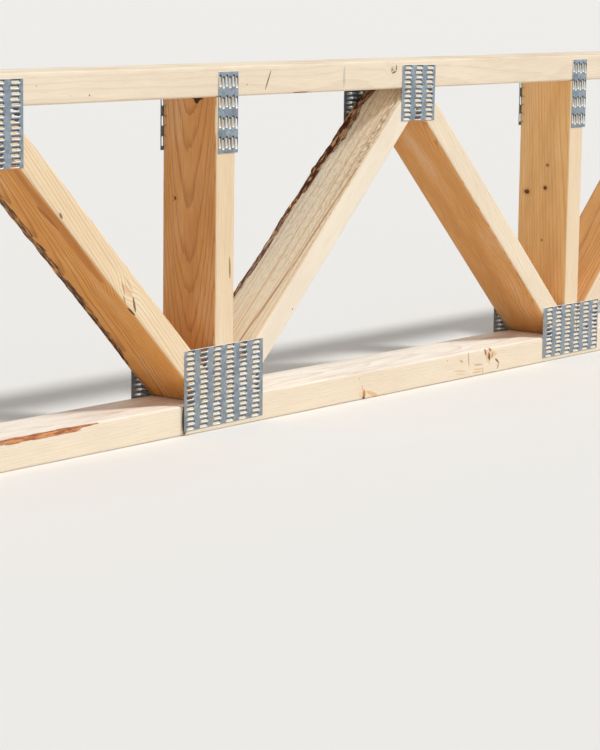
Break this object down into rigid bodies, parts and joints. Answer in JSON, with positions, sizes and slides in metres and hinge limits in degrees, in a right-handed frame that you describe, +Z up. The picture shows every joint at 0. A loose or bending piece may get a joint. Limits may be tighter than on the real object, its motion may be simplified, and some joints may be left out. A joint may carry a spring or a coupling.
{
  "type": "floor truss",
  "caption": "Open-web wooden floor truss: flat lumber chords, upright posts and sloping webs, joined on both faces by toothed steel nail plates.",
  "frame": {"origin": "on the underside of the bottom chord, at the middle of the truss's length and width", "axes": "+X along the span, +Y across the width of the boards from the front face to the back face, +Z up"},
  "size_m": [3.6576, 0.0908, 0.4572],
  "materials": {
    "chord_wood": "dressed softwood, unfinished",
    "web_wood": "dressed softwood, unfinished, slightly toned",
    "post_wood": "dressed softwood, unfinished",
    "plate_zinc": "galvanised, dull"
  },
  "bodies": {
    "root": {"bottom_chord": "chord_wood", "top_chord": "chord_wood", "post_1": "post_wood", "post_2": "post_wood", "post_3": "post_wood", "end_post_left_1": "post_wood", "end_post_left_2": "post_wood", "end_post_right_1": "post_wood", "end_post_right_2": "post_wood", "web_1_rising": "web_wood", "web_1_falling": "web_wood", "web_2_rising": "web_wood", "web_2_falling": "web_wood", "web_3_rising": "web_wood", "web_3_falling": "web_wood", "web_4_rising": "web_wood", "web_4_falling": "web_wood", "apex_plate_1_front": "plate_zinc", "apex_plate_1_back": "plate_zinc", "apex_plate_2_front": "plate_zinc", "apex_plate_2_back": "plate_zinc", "apex_plate_3_front": "plate_zinc", "apex_plate_3_back": "plate_zinc", "apex_plate_4_front": "plate_zinc", "apex_plate_4_back": "plate_zinc", "foot_plate_1_front": "plate_zinc", "foot_plate_1_back": "plate_zinc", "post_plate_1_front": "plate_zinc", "post_plate_1_back": "plate_zinc", "foot_plate_2_front": "plate_zinc", "foot_plate_2_back": "plate_zinc", "post_plate_2_front": "plate_zinc", "post_plate_2_back": "plate_zinc", "foot_plate_3_front": "plate_zinc", "foot_plate_3_back": "plate_zinc", "post_plate_3_front": "plate_zinc", "post_plate_3_back": "plate_zinc", "heel_plate_left_front": "plate_zinc", "heel_plate_left_back": "plate_zinc", "end_plate_left_front": "plate_zinc", "end_plate_left_back": "plate_zinc", "heel_plate_right_front": "plate_zinc", "heel_plate_right_back": "plate_zinc", "end_plate_right_front": "plate_zinc", "end_plate_right_back": "plate_zinc"}
  },
  "joints": []
}
